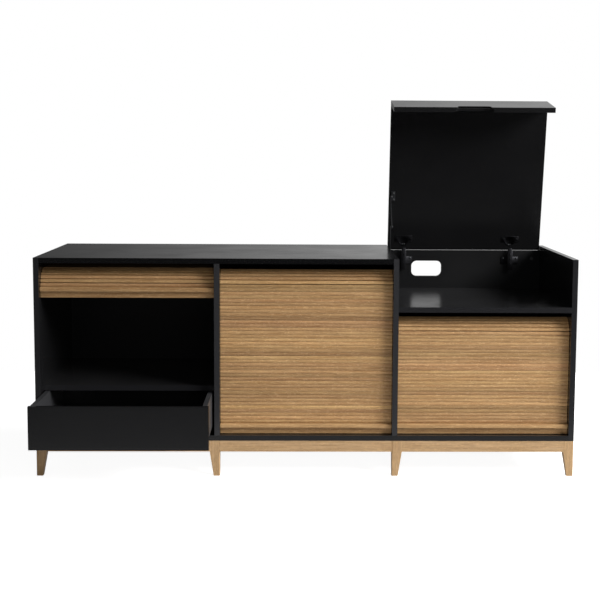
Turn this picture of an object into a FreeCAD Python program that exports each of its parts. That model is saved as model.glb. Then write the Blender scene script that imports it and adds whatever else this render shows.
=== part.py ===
import FreeCAD, Part

import math
import os

from FreeCAD import Vector

# Overall sizes, millimetres. X runs along the front, the front faces -Y, the floor is Z = 0.
WIDTH = 1800.0
DEPTH = 600.0
HEIGHT = 732.0
BASE_HEIGHT = 120.0

# Carcass panels
PANEL = 18.0
BACK_INSET = 18.0
WELL_HEIGHT = 160.0
SHELF_HEIGHT = 162.0
SHELF_SETBACK = 38.0

# Cable cut-out in the back of the well
CUTOUT_WIDTH = 114.0
CUTOUT_HEIGHT = 58.0
CUTOUT_RADIUS = 20.0
CUTOUT_FROM_DIVIDER = 92.0
CUTOUT_BELOW_TOP = 57.0

# Cap over the fixing in the upper corner of that back
CAP_RADIUS = 6.5
CAP_HEIGHT = 1.0
CAP_INSET = 30.0

# Oak base
LEG_TOP = 34.0
LEG_FOOT = 21.0
LEG_EASE = 3.0
RAIL_HEIGHT = 37.0
RAIL_THICKNESS = 20.0

# Lid over the record-player well
LID_GAP = 2.0
LID_FRONT_SETBACK = 20.0
LID_OPEN_ANGLE = 79.5
LID_THICKNESS = 16.0
LID_BACK_GAP = 1.0
NOTCH_WIDTH = 120.0
NOTCH_HEIGHT = 25.0
NOTCH_RADIUS = 12.0
BLOCK_SIZE = 17.0
LEFT_BLOCK_INSET = 40.0
BLOCK_EASE = 2.0

# Concealed hinges
LEFT_HINGE_INSET = 59.0
RIGHT_HINGE_INSET = 112.0
CUP_RADIUS = 17.5
CUP_WALL = 1.0
CUP_DEPTH = 12.0
CUP_FIT = 0.1
CUP_BACK_GAP = 0.5
WING_LENGTH = 66.0
WING_DEPTH = 24.0
WING_OFFSET = 7.0
WING_THICKNESS = 1.5
HINGE_SCREW_SPREAD = 50.0
MOUNT_LINE = 37.0
MOUNT_WINGS = 66.0
MOUNT_WING_HEIGHT = 28.0
MOUNT_WING_THICKNESS = 2.5
MOUNT_SCREW_LIFT = 8.0
MOUNT_BOSS_WIDTH = 16.0
MOUNT_BOSS_DEPTH = 8.0
MOUNT_BOSS_HEIGHT = 56.0
ARM_WIDTH = 19.0
ARM_DEPTH = 8.0
ARM_LENGTH = 72.5
TIP_WIDTH = 13.0
TIP_RISE = 10.0
SCREW_HEAD_RADIUS = 4.0
SCREW_HEAD_HEIGHT = 1.6

# Folding stay
STAY_REACH = 200.0
STAY_DROP = 107.0
STAY_LEAD = 80.0
STAY_ARM_WIDTH = 12.0
STAY_ARM_THICKNESS = 3.0
STAY_GAP = 0.5
STAY_PIN_RADIUS = 3.0
STAY_PIN_CLEARANCE = 0.05
STAY_PLATE = 2.5
STAY_STANDOFF = 14.0
STAY_BRACKET_LENGTH = 38.0
STAY_BRACKET_WIDTH = 16.0
STAY_SCREW_SPREAD = 24.0

# Drawer in the left bay
DRAWER_PULLED = 250.0
DRAWER_SIDE_GAP = 3.0
DRAWER_LIFT = 2.0
DRAWER_FRONT_THICKNESS = 16.0
DRAWER_BOARD = 15.0
DRAWER_BACK_GAP = 40.0
DRAWER_SIDE_INSET = 5.0
DRAWER_SIDE_LIFT = 25.0
DRAWER_BOTTOM_THICKNESS = 8.0
DRAWER_BOTTOM_LIFT = 13.0

# Concealed slides under the drawer
SLIDE_WIDTH = 32.0
SLIDE_BOARD_GAP = 1.5
SLIDE_SHEET = 1.5
SLIDE_PLAY = 0.5
SLIDE_SETBACK = 4.0
SLIDE_REAR_SETBACK = 16.0

# Tambours and their tracks
SLAT_SETBACK = 24.0
SLAT_PITCH = 12.0
SLAT_GAP = 0.4
SLAT_THICKNESS = 10.0
SLAT_SHOULDER = 8.5
SLAT_END_GAP = 1.0
TENON_THICKNESS = 6.0
TENON_BACK = 1.0
TENON_NARROWER = 1.2
TRACK_DEPTH = 7.0
TRACK_PLAY = 0.5
TRACK_BEND = 45.0
TRACK_HEADROOM = 22.0
CLOTH = 0.8
BAR_HEIGHT = 35.0
BAR_LIP_HEIGHT = 16.0
BAR_LIP_REACH = 12.0
BAR_LIP_EASE = 5.0
BAR_FLOOR_GAP = 2.0
OPEN_SHOW = 116.0
OPEN_TAIL_GAP = 20.0

# Levels and planes worked out from the sizes above
FRONT = -DEPTH / 2
REAR = DEPTH / 2
LEFT = -WIDTH / 2
RIGHT = WIDTH / 2
FLOOR_TOP = BASE_HEIGHT + PANEL
TOP_UNDER = HEIGHT - PANEL
BAY = (WIDTH - 4 * PANEL) / 3
FRAME_LENGTH = BAY + 2 * PANEL
BAYS = [LEFT + PANEL + n * (BAY + PANEL) for n in range(3)]
BACK_FACE = REAR - BACK_INSET - PANEL
WELL_FLOOR = HEIGHT - WELL_HEIGHT
SHELF_TOP = FLOOR_TOP + SHELF_HEIGHT
CLOTH_PLANE = FRONT + SLAT_SETBACK + SLAT_THICKNESS

LID_LEFT = BAYS[2] + LID_GAP
LID_RIGHT = BAYS[2] + BAY - LID_GAP
LID_REAR = BACK_FACE + PANEL
LID_FRONT = FRONT + LID_FRONT_SETBACK
LID_UNDER = HEIGHT - LID_THICKNESS
LID_AXIS = Vector(0, LID_REAR - LID_THICKNESS / 2, HEIGHT - LID_THICKNESS / 2)
HINGES = [LID_LEFT + LEFT_HINGE_INSET, LID_RIGHT - RIGHT_HINGE_INSET]
CUP_Y = BACK_FACE - CUP_BACK_GAP - CUP_WALL - CUP_RADIUS
BACK_TOP = LID_UNDER - LID_BACK_GAP

X_AXIS = Vector(1, 0, 0)
Y_AXIS = Vector(0, 1, 0)
Z_AXIS = Vector(0, 0, 1)


def block(x0, x1, y0, y1, z0, z1):
    """Rectangular board between two corners."""
    return Part.makeBox(x1 - x0, y1 - y0, z1 - z0, Vector(x0, y0, z0))


def rod(start, axis, radius, length):
    """Round bar from a point along an axis."""
    return Part.makeCylinder(radius, length, start, axis)


def prism(points, direction):
    """Straight-sided solid from a closed outline and an extrusion."""
    return Part.Face(Part.makePolygon(points + points[:1])).extrude(direction)


def save(name, shapes):
    """Write one node, as a single solid or a group of separate solids."""
    solids = [solid for shape in shapes for solid in shape.Solids]
    shape = solids[0] if len(solids) == 1 else Part.makeCompound(solids)
    shape.exportStep("parts/" + name + ".step")


def opened(shape):
    """Lid piece drawn shut, swung up to the open angle."""
    return shape.rotated(LID_AXIS, X_AXIS, -LID_OPEN_ANGLE)


def pulled(shape, share=1.0):
    """Drawer piece drawn shut, pulled out by a share of the drawer's travel."""
    return shape.translated(Vector(0, -DRAWER_PULLED * share, 0))


class Track:
    """Path of a tambour's cloth: up the front, round a bend, back under a panel."""

    def __init__(self, ceiling):
        level = ceiling - TRACK_HEADROOM - SLAT_THICKNESS
        self.centre = Vector(0, CLOTH_PLANE + TRACK_BEND, level - TRACK_BEND)
        self.rise = self.centre.z - FLOOR_TOP
        self.bend = TRACK_BEND * math.pi / 2
        self.length = self.rise + self.bend + BACK_FACE - self.centre.y
        self.top_stop = ceiling - OPEN_SHOW - FLOOR_TOP
        self.slats = int((self.rise + self.bend - BAR_FLOOR_GAP - BAR_HEIGHT) // SLAT_PITCH)

    def open_lift(self):
        """Travel of the bar, until it meets the top stop or the last slat nears the back."""
        tail = self.length - OPEN_TAIL_GAP - self.slats * SLAT_PITCH - BAR_HEIGHT
        return min(self.top_stop, tail) - BAR_FLOOR_GAP

    def angle(self, s):
        """Turn of the path, in radians, at a distance s from its foot."""
        return min(max((s - self.rise) / TRACK_BEND, 0.0), math.pi / 2)

    def point(self, s, out=0.0):
        """Point at a distance s from the foot, moved out from the cloth."""
        turn = self.angle(s)
        along = min(s - self.rise, 0.0)
        beyond = max(s - self.rise - self.bend, 0.0)
        reach = TRACK_BEND + out
        y = self.centre.y - reach * math.cos(turn) + beyond
        z = self.centre.z + reach * math.sin(turn) + along
        return Vector(0, y, z)

    def edges(self, s0, s1, out):
        """Line, arc and line that follow the path between two distances."""
        marks = [s0] + [m for m in (self.rise, self.rise + self.bend) if s0 < m < s1] + [s1]
        found = []
        for a, b in zip(marks, marks[1:]):
            ends = [self.point(a, out), self.point(b, out)]
            if self.angle(b) - self.angle(a) > 0.001:
                found.append(Part.Arc(ends[0], self.point((a + b) / 2, out), ends[1]).toShape())
            else:
                found.append(Part.makeLine(ends[0], ends[1]))
        return found

    def strip(self, s0, s1, inner, outer, x, width):
        """Band along the path between two offsets, extruded along X."""
        near = self.edges(s0, s1, inner)
        far = self.edges(s0, s1, outer)
        caps = [Part.makeLine(self.point(s, inner), self.point(s, outer)) for s in (s0, s1)]
        wire = Part.Wire(Part.__sortEdges__(near + far + caps))
        return Part.Face(wire).extrude(Vector(width, 0, 0)).translated(Vector(x, 0, 0))

    def groove(self, x):
        """Track cut into a panel face, starting at x and one track depth wide."""
        inner = TENON_BACK - TRACK_PLAY
        outer = TENON_BACK + TENON_THICKNESS + TRACK_PLAY
        return self.strip(0.0, self.length, inner, outer, x, TRACK_DEPTH)

    def place(self, shape, s):
        """Slat drawn at the foot of the track, moved to a distance s along it."""
        turned = shape.rotated(Vector(), X_AXIS, -math.degrees(self.angle(s)))
        return turned.translated(self.point(s))


BIG_TRACK = Track(TOP_UNDER)
WELL_TRACK = Track(WELL_FLOOR - PANEL)


def side_panels():
    """Outer sides with their tracks."""
    left = block(LEFT, LEFT + PANEL, FRONT, REAR, BASE_HEIGHT, HEIGHT)
    right = block(RIGHT - PANEL, RIGHT, FRONT, REAR, BASE_HEIGHT, HEIGHT)
    save("left_side_panel", [left.cut(BIG_TRACK.groove(BAYS[0] - TRACK_DEPTH))])
    save("right_side_panel", [right.cut(WELL_TRACK.groove(BAYS[2] + BAY))])


def dividers():
    """Upright between two bays, with a track on each face."""
    x0 = BAYS[0] + BAY
    left = block(x0, x0 + PANEL, FRONT, REAR, FLOOR_TOP, TOP_UNDER)
    left = left.cut([BIG_TRACK.groove(x0), BIG_TRACK.groove(BAYS[1] - TRACK_DEPTH)])
    save("left_divider", [left])
    x1 = BAYS[1] + BAY
    right = block(x1, x1 + PANEL, FRONT, REAR, FLOOR_TOP, HEIGHT)
    right = right.cut([BIG_TRACK.groove(x1), WELL_TRACK.groove(BAYS[2] - TRACK_DEPTH)])
    save("right_divider", [right])


def top_and_bottom():
    """Top over the left and middle bays, bottom under all three."""
    top = block(BAYS[0], BAYS[1] + BAY, FRONT, REAR, TOP_UNDER, HEIGHT)
    save("top_panel", [top])
    bottom = block(BAYS[0], BAYS[2] + BAY, FRONT, REAR, BASE_HEIGHT, FLOOR_TOP)
    save("bottom_panel", [bottom])


def rounded_slot(x, z, width, height, radius, y0, y1):
    """Rounded rectangle through a panel, extruded along Y."""
    body = block(x, x + width, y0, y1, z, z + height)
    uprights = [e for e in body.Edges if abs(e.tangentAt(e.FirstParameter).y) > 0.99]
    return body.makeFillet(radius, uprights)


def back_panels():
    """Inset backs, the right one cut down under the lid and open for cables."""
    names = ["left_back_panel", "middle_back_panel"]
    for name, x in zip(names, BAYS):
        save(name, [block(x, x + BAY, BACK_FACE, BACK_FACE + PANEL, FLOOR_TOP, TOP_UNDER)])
    x = BAYS[2]
    back = block(x, x + BAY, BACK_FACE, BACK_FACE + PANEL, FLOOR_TOP, BACK_TOP)
    low = HEIGHT - CUTOUT_BELOW_TOP - CUTOUT_HEIGHT
    side = x + CUTOUT_FROM_DIVIDER
    hole = rounded_slot(side, low, CUTOUT_WIDTH, CUTOUT_HEIGHT, CUTOUT_RADIUS,
                        BACK_FACE, BACK_FACE + PANEL)
    save("right_back_panel", [back.cut(hole)])


def back_cap():
    """Cap over the fixing in the upper right corner of the well's back."""
    point = Vector(BAYS[2] + BAY - CAP_INSET, BACK_FACE, BACK_TOP - CAP_INSET)
    save("back_panel_cap", [rod(point, -Y_AXIS, CAP_RADIUS, CAP_HEIGHT)])


def shelves():
    """Shelf over the drawer and floor of the record-player well."""
    x = BAYS[0]
    low = block(x, x + BAY, FRONT + SHELF_SETBACK, BACK_FACE, SHELF_TOP - PANEL, SHELF_TOP)
    save("drawer_shelf", [low])
    x = BAYS[2]
    save("well_shelf", [block(x, x + BAY, FRONT, BACK_FACE, WELL_FLOOR - PANEL, WELL_FLOOR)])


def leg(x, y, to_x, to_y):
    """Leg with two upright outer faces, tapered on the two faces that look inward."""
    top = [Vector(x, y, BASE_HEIGHT), Vector(x + to_x * LEG_TOP, y, BASE_HEIGHT),
           Vector(x + to_x * LEG_TOP, y + to_y * LEG_TOP, BASE_HEIGHT),
           Vector(x, y + to_y * LEG_TOP, BASE_HEIGHT)]
    shoulder = [p - Vector(0, 0, RAIL_HEIGHT) for p in top]
    foot = [Vector(x, y, 0), Vector(x + to_x * LEG_FOOT, y, 0),
            Vector(x + to_x * LEG_FOOT, y + to_y * LEG_FOOT, 0), Vector(x, y + to_y * LEG_FOOT, 0)]
    wires = [Part.makePolygon(p + p[:1]) for p in (top, shoulder, foot)]
    head = Part.makeLoft(wires[:2], True, True)
    taper = Part.makeLoft(wires[1:], True, True)
    body = head.fuse(taper).removeSplitter()
    outer = [e for e in body.Edges if upright_edge_at(e, x, y)]
    return body.makeFillet(LEG_EASE, outer)


def upright_edge_at(edge, x, y):
    """True for an upright edge standing on the outer corner of a leg."""
    ends = [v.Point for v in edge.Vertexes]
    return all(abs(p.x - x) < 0.01 and abs(p.y - y) < 0.01 for p in ends)


def leg_frame(name, x0):
    """Four legs tied by a front, a rear and two side rails."""
    x1 = x0 + FRAME_LENGTH
    low = BASE_HEIGHT - RAIL_HEIGHT
    corners = {"front_left": (x0, FRONT, 1, 1), "front_right": (x1, FRONT, -1, 1),
               "rear_left": (x0, REAR, 1, -1), "rear_right": (x1, REAR, -1, -1)}
    for corner, where in corners.items():
        save(name + "_leg_" + corner, [leg(*where)])
    span = (x0 + LEG_TOP, x1 - LEG_TOP)
    save(name + "_front_rail", [block(*span, FRONT, FRONT + RAIL_THICKNESS, low, BASE_HEIGHT)])
    save(name + "_rear_rail", [block(*span, REAR - RAIL_THICKNESS, REAR, low, BASE_HEIGHT)])
    run = (FRONT + LEG_TOP, REAR - LEG_TOP, low, BASE_HEIGHT)
    sides = [block(x0, x0 + RAIL_THICKNESS, *run), block(x1 - RAIL_THICKNESS, x1, *run)]
    save(name + "_side_rails", sides)


def base():
    """Two leg frames and the rails that bridge the middle bay between them."""
    leg_frame("left_frame", LEFT)
    leg_frame("right_frame", RIGHT - FRAME_LENGTH)
    low = BASE_HEIGHT - RAIL_HEIGHT
    span = (LEFT + FRAME_LENGTH, RIGHT - FRAME_LENGTH)
    front = block(*span, FRONT, FRONT + RAIL_THICKNESS, low, BASE_HEIGHT)
    rear = block(*span, REAR - RAIL_THICKNESS, REAR, low, BASE_HEIGHT)
    save("bridge_rails", [front, rear])


def lid_panel():
    """Lid board with a round rear edge on the swing axis and bores for the cups."""
    board = block(LID_LEFT, LID_RIGHT, LID_FRONT + PANEL, LID_AXIS.y, LID_UNDER, HEIGHT)
    nose = rod(LID_AXIS + X_AXIS * LID_LEFT, X_AXIS, LID_THICKNESS / 2, LID_RIGHT - LID_LEFT)
    bores = [rod(Vector(x, CUP_Y, LID_UNDER), Z_AXIS, CUP_RADIUS + CUP_FIT, CUP_DEPTH + CUP_FIT)
             for x in HINGES]
    save("lid_panel", [opened(board.fuse(nose).removeSplitter().cut(bores))])


def lid_fascia():
    """Front board of the lid, with a finger notch in the middle of its lower edge."""
    low = WELL_FLOOR + LID_GAP
    body = block(LID_LEFT, LID_RIGHT, LID_FRONT, LID_FRONT + PANEL, low, HEIGHT)
    middle = (LID_LEFT + LID_RIGHT) / 2
    notch = rounded_slot(middle - NOTCH_WIDTH / 2, low - NOTCH_HEIGHT, NOTCH_WIDTH,
                         2 * NOTCH_HEIGHT, NOTCH_RADIUS, LID_FRONT, LID_FRONT + PANEL)
    save("lid_fascia", [opened(body.cut(notch))])


def lid_blocks():
    """Corner blocks that stiffen the joint of lid and fascia."""
    inside = LID_FRONT + PANEL
    starts = [LID_LEFT + LEFT_BLOCK_INSET, LID_RIGHT - BLOCK_SIZE]
    made = []
    for x in starts:
        outline = [Vector(x, inside, LID_UNDER), Vector(x, inside + BLOCK_SIZE, LID_UNDER),
                   Vector(x, inside + BLOCK_SIZE, LID_UNDER - BLOCK_EASE),
                   Vector(x, inside + BLOCK_EASE, LID_UNDER - BLOCK_SIZE),
                   Vector(x, inside, LID_UNDER - BLOCK_SIZE)]
        made.append(opened(prism(outline, Vector(BLOCK_SIZE, 0, 0))))
    save("lid_corner_blocks", made)


def hinge_cup(x):
    """Cup let into the lid, with a wing plate that lies on the lid's underside."""
    shell = rod(Vector(x, CUP_Y, LID_UNDER), Z_AXIS, CUP_RADIUS, CUP_DEPTH)
    inner = CUP_RADIUS - CUP_WALL
    ring = rod(Vector(x, CUP_Y, LID_UNDER - WING_THICKNESS), Z_AXIS, CUP_RADIUS + CUP_WALL,
               WING_THICKNESS)
    y = CUP_Y - WING_OFFSET
    wing = block(x - WING_LENGTH / 2, x + WING_LENGTH / 2, y - WING_DEPTH / 2, y + WING_DEPTH / 2,
                 LID_UNDER - WING_THICKNESS, LID_UNDER)
    hollow = rod(Vector(x, CUP_Y, LID_UNDER - WING_THICKNESS), Z_AXIS, inner,
                 WING_THICKNESS + CUP_DEPTH - CUP_WALL)
    return shell.fuse([ring, wing]).cut(hollow).removeSplitter()


def hinge_mount(x):
    """Cross-shaped mounting plate on the back panel."""
    line = BACK_TOP - MOUNT_LINE
    boss = block(x - MOUNT_BOSS_WIDTH / 2, x + MOUNT_BOSS_WIDTH / 2, BACK_FACE - MOUNT_BOSS_DEPTH,
                 BACK_FACE, line - MOUNT_BOSS_HEIGHT / 2, line + MOUNT_BOSS_HEIGHT / 2)
    wings = block(x - MOUNT_WINGS / 2, x + MOUNT_WINGS / 2, BACK_FACE - MOUNT_WING_THICKNESS,
                  BACK_FACE, line - MOUNT_WING_HEIGHT / 2, line + MOUNT_WING_HEIGHT / 2)
    return boss.fuse(wings).removeSplitter()


def hinge_arm(x):
    """Arm that clips over the mounting plate, with a link tip that enters the shut cup."""
    rear = BACK_FACE - MOUNT_BOSS_DEPTH
    body = block(x - ARM_WIDTH / 2, x + ARM_WIDTH / 2, rear - ARM_DEPTH, rear,
                 BACK_TOP - ARM_LENGTH, BACK_TOP)
    tip = block(x - TIP_WIDTH / 2, x + TIP_WIDTH / 2, rear - ARM_DEPTH, rear, BACK_TOP,
                BACK_TOP + TIP_RISE)
    return body.fuse(tip).removeSplitter()


def hinges():
    """Both concealed hinges."""
    save("hinge_cups", [opened(hinge_cup(x)) for x in HINGES])
    save("hinge_mounting_plates", [hinge_mount(x) for x in HINGES])
    save("hinge_arms", [hinge_arm(x) for x in HINGES])


def screw_head(point, axis):
    """Round screw head seated on a surface and standing out along an axis."""
    return rod(point, axis, SCREW_HEAD_RADIUS, SCREW_HEAD_HEIGHT)


def stay_pivots():
    """Pivots of the stay with the lid open: on the divider, on the lid, at the elbow.

    With the lid's own axis they make a parallelogram, so the lower arm always turns
    just as the lid does and the upper arm keeps its direction.
    """
    shut = Vector(0, LID_AXIS.y - STAY_REACH, LID_UNDER - STAY_STANDOFF)
    swing = FreeCAD.Rotation(X_AXIS, -LID_OPEN_ANGLE)
    on_lid = LID_AXIS + swing.multVec(shut - LID_AXIS)
    shift = Vector(0, -STAY_LEAD, -STAY_DROP)
    return LID_AXIS + shift, on_lid, on_lid + shift


def stay_arm(p, q, x, hole_p, hole_q):
    """Flat arm with round ends and a hole at each end."""
    along = (q - p).normalize() * (STAY_ARM_WIDTH / 2)
    across = X_AXIS.cross(along)
    edges = [Part.Arc(p + across, p - along, p - across).toShape(),
             Part.makeLine(p - across, q - across),
             Part.Arc(q - across, q + along, q + across).toShape(),
             Part.makeLine(q + across, p + across)]
    body = Part.Face(Part.Wire(edges)).extrude(X_AXIS * STAY_ARM_THICKNESS)
    holes = [rod(p, X_AXIS, hole_p, STAY_ARM_THICKNESS), rod(q, X_AXIS, hole_q, STAY_ARM_THICKNESS)]
    return body.cut(holes).translated(X_AXIS * x)


def stay_bracket(x):
    """Angle on the lid's underside that holds the upper pivot, drawn with the lid shut."""
    y = LID_AXIS.y - STAY_REACH
    z = LID_UNDER - STAY_STANDOFF
    plate = block(x, x + STAY_BRACKET_WIDTH, y - STAY_BRACKET_LENGTH / 2,
                  y + STAY_BRACKET_LENGTH / 2, LID_UNDER - STAY_PLATE, LID_UNDER)
    ear = block(x, x + STAY_PLATE, y - STAY_ARM_WIDTH / 2, y + STAY_ARM_WIDTH / 2,
                z - STAY_ARM_WIDTH / 2, LID_UNDER)
    hole = rod(Vector(x, y, z), X_AXIS, STAY_PIN_RADIUS, STAY_PLATE)
    return plate.fuse(ear).cut(hole).removeSplitter()


def stay_base(pivot):
    """Plate on the divider that holds the lower pivot, reaching back behind it."""
    x = BAYS[2]
    half = STAY_BRACKET_WIDTH / 2
    plate = block(x, x + STAY_PLATE, pivot.y - half, pivot.y - half + STAY_BRACKET_LENGTH,
                  pivot.z - half, pivot.z + half)
    return plate.cut(rod(Vector(x, pivot.y, pivot.z), X_AXIS, STAY_PIN_RADIUS, STAY_PLATE))


def stay():
    """Folding stay beside the divider, its arms side by side along X."""
    at_base, at_lid, elbow = stay_pivots()
    loose = STAY_PIN_RADIUS + STAY_PIN_CLEARANCE
    lower = BAYS[2] + STAY_PLATE + STAY_GAP
    upper = lower + STAY_ARM_THICKNESS + STAY_GAP
    ear = upper + STAY_ARM_THICKNESS + STAY_GAP
    save("stay_base", [stay_base(at_base)])
    save("stay_lower_arm", [stay_arm(at_base, elbow, lower, loose, STAY_PIN_RADIUS)])
    save("stay_upper_arm", [stay_arm(elbow, at_lid, upper, loose, loose)])
    save("stay_lid_bracket", [opened(stay_bracket(ear))])
    pins = {"stay_base_pin": (at_base, BAYS[2], lower + STAY_ARM_THICKNESS),
            "stay_elbow_pin": (elbow, lower, upper + STAY_ARM_THICKNESS),
            "stay_lid_pin": (at_lid, upper, ear + STAY_PLATE)}
    for name, (point, x0, x1) in pins.items():
        save(name, [rod(point + X_AXIS * x0, X_AXIS, STAY_PIN_RADIUS, x1 - x0)])
    return at_base, ear


def screws(at_base, ear):
    """Screw heads on the hinges and the stay, those on the lid swung up with it."""
    spread = (-HINGE_SCREW_SPREAD / 2, HINGE_SCREW_SPREAD / 2)
    ends = (-STAY_SCREW_SPREAD / 2, STAY_SCREW_SPREAD / 2)
    wing = LID_UNDER - WING_THICKNESS
    on_lid = [screw_head(Vector(x + dx, CUP_Y - WING_OFFSET, wing), -Z_AXIS)
              for x in HINGES for dx in spread]
    x = ear + STAY_PLATE + (STAY_BRACKET_WIDTH - STAY_PLATE) / 2
    on_lid += [screw_head(Vector(x, LID_AXIS.y - STAY_REACH + dy, LID_UNDER - STAY_PLATE), -Z_AXIS)
               for dy in ends]
    save("lid_screws", [opened(screw) for screw in on_lid])
    line = BACK_TOP - MOUNT_LINE + MOUNT_SCREW_LIFT
    fixed = [screw_head(Vector(x + dx, BACK_FACE - MOUNT_WING_THICKNESS, line), -Y_AXIS)
             for x in HINGES for dx in spread]
    behind = (STAY_SCREW_SPREAD / 2, STAY_SCREW_SPREAD)
    fixed += [screw_head(Vector(BAYS[2] + STAY_PLATE, at_base.y + dy, at_base.z), X_AXIS)
              for dy in behind]
    save("well_screws", fixed)


def drawer():
    """Inner drawer: front, sides, back and bottom, pulled part way out."""
    x0 = BAYS[0]
    x1 = x0 + BAY
    low = FLOOR_TOP + DRAWER_LIFT
    high = SHELF_TOP - PANEL - DRAWER_LIFT
    face = FRONT + SHELF_SETBACK
    inside = face + DRAWER_FRONT_THICKNESS
    back = BACK_FACE - DRAWER_BACK_GAP
    front = block(x0 + DRAWER_SIDE_GAP, x1 - DRAWER_SIDE_GAP, face, inside, low, high)
    foot = low + DRAWER_SIDE_LIFT
    left = x0 + DRAWER_SIDE_GAP + DRAWER_SIDE_INSET
    right = x1 - DRAWER_SIDE_GAP - DRAWER_SIDE_INSET
    tray = foot + DRAWER_BOTTOM_LIFT
    tray_top = tray + DRAWER_BOTTOM_THICKNESS
    between = (left + DRAWER_BOARD, right - DRAWER_BOARD)
    boards = {"drawer_front": front,
              "drawer_left_side": block(left, left + DRAWER_BOARD, inside, back, foot, high),
              "drawer_right_side": block(right - DRAWER_BOARD, right, inside, back, foot, high),
              "drawer_bottom": block(*between, inside, back, tray, tray_top),
              "drawer_back": block(*between, back - DRAWER_BOARD, back, tray_top, high)}
    for name, board in boards.items():
        save(name, [pulled(board)])
    aside = SLIDE_BOARD_GAP + SLIDE_WIDTH / 2
    middles = (between[0] + aside, between[1] - aside)
    slides(middles, inside + SLIDE_SETBACK, back - SLIDE_REAR_SETBACK, tray)


def channel(x, half, y0, y1, z_web, z_lips):
    """Slide member: a level web with a lip along each side."""
    body = block(x - half, x + half, y0, y1, min(z_web, z_lips), max(z_web, z_lips))
    inward = SLIDE_SHEET if z_web < z_lips else -SLIDE_SHEET
    hollow = sorted([z_web + inward, z_lips])
    inner = half - SLIDE_SHEET
    return body.cut(block(x - inner, x + inner, y0, y1, *hollow))


def slides(middles, y0, y1, tray):
    """Three nested members under each side of the drawer, the middle ones half way out."""
    step = SLIDE_SHEET + SLIDE_PLAY
    half = SLIDE_WIDTH / 2
    tip = tray - step
    groups = {"slide_cabinet_members": [], "slide_middle_members": [], "slide_drawer_members": []}
    for x in middles:
        outer = channel(x, half, y0, y1, FLOOR_TOP, tip)
        middle = channel(x, half - step, y0, y1, FLOOR_TOP + step, tip)
        inner = channel(x, half - 2 * step, y0, y1, tray, FLOOR_TOP + 2 * step)
        groups["slide_cabinet_members"].append(outer)
        groups["slide_middle_members"].append(pulled(middle, 0.5))
        groups["slide_drawer_members"].append(pulled(inner))
    for name, members in groups.items():
        save(name, members)


def slat(x):
    """Rounded slat lying on the cloth at the track's origin, with a tenon at each end."""
    half = (SLAT_PITCH - SLAT_GAP) / 2
    corners = [Vector(0, -SLAT_SHOULDER, -half), Vector(0, 0, -half),
               Vector(0, 0, half), Vector(0, -SLAT_SHOULDER, half)]
    crown = Part.Arc(corners[3], Vector(0, -SLAT_THICKNESS, 0), corners[0]).toShape()
    edges = [Part.makeLine(a, b) for a, b in zip(corners, corners[1:])]
    face = Part.Face(Part.Wire(edges + [crown]))
    body = face.extrude(X_AXIS * (BAY - 2 * SLAT_END_GAP)).translated(X_AXIS * (x + SLAT_END_GAP))
    return body.fuse(tenon(x, TENON_NARROWER - half, half - TENON_NARROWER)).removeSplitter()


def tenon(x, z0, z1):
    """Tongue that runs in the tracks on both sides of a bay."""
    reach = TRACK_DEPTH - TRACK_PLAY
    return block(x - reach, x + BAY + reach, -TENON_BACK - TENON_THICKNESS, -TENON_BACK, z0, z1)


def pull_bar(x):
    """Bottom bar with a projecting lip along its upper edge, standing on the origin."""
    ends = (x + SLAT_END_GAP, x + BAY - SLAT_END_GAP)
    lip = block(*ends, -SLAT_THICKNESS - BAR_LIP_REACH, -SLAT_THICKNESS,
                BAR_HEIGHT - BAR_LIP_HEIGHT, BAR_HEIGHT)
    nose = [e for e in lip.Edges if all(
        abs(v.Point.y + SLAT_THICKNESS + BAR_LIP_REACH) < 0.01 for v in e.Vertexes)
        and e.Length > BAR_LIP_HEIGHT]
    body = block(*ends, -SLAT_THICKNESS, 0, 0, BAR_HEIGHT)
    parts = [lip.makeFillet(BAR_LIP_EASE, nose), tenon(x, TENON_NARROWER, BAR_HEIGHT - TENON_NARROWER)]
    return body.fuse(parts).removeSplitter()


def tambour(name, x, track, lift):
    """Bar, slats and cloth of one tambour, raised along its track by a lift."""
    foot = BAR_FLOOR_GAP + lift
    start = foot + BAR_HEIGHT
    one = slat(x)
    rows = [track.place(one, start + (n + 0.5) * SLAT_PITCH) for n in range(track.slats)]
    cloth = track.strip(start, start + track.slats * SLAT_PITCH, -CLOTH, 0.0, x + SLAT_END_GAP,
                        BAY - 2 * SLAT_END_GAP)
    save(name + "_pull_bar", [track.place(pull_bar(x), foot)])
    save(name + "_slats", rows)
    save(name + "_cloth", [cloth])


os.makedirs("parts", exist_ok=True)
side_panels()
dividers()
top_and_bottom()
back_panels()
back_cap()
shelves()
base()
lid_panel()
lid_fascia()
lid_blocks()
hinges()
screws(*stay())
drawer()
tambour("left_tambour", BAYS[0], BIG_TRACK, BIG_TRACK.open_lift())
tambour("middle_tambour", BAYS[1], BIG_TRACK, 0.0)
tambour("right_tambour", BAYS[2], WELL_TRACK, 0.0)
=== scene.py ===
"""Looks of a credenza with slatted tambours, an inner drawer and a lift-up lid over a well.

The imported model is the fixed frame, and most of its nodes are kept and given a finish. The slats,
the lid's front board, the hinges with eased edges, the screw heads and the rivets are built here.
Lengths are in metres, and names that end in _mm are in millimetres.
"""

from __future__ import annotations

import logging
import math
import random
from dataclasses import dataclass, field
from enum import Enum
from typing import Any

import bmesh
import bpy
from bmesh.types import BMEdge, BMesh, BMFace, BMVert
from bpy.types import Material, Node, NodeSocket, NodeTree, Object
from mathutils import Matrix, Vector

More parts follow.
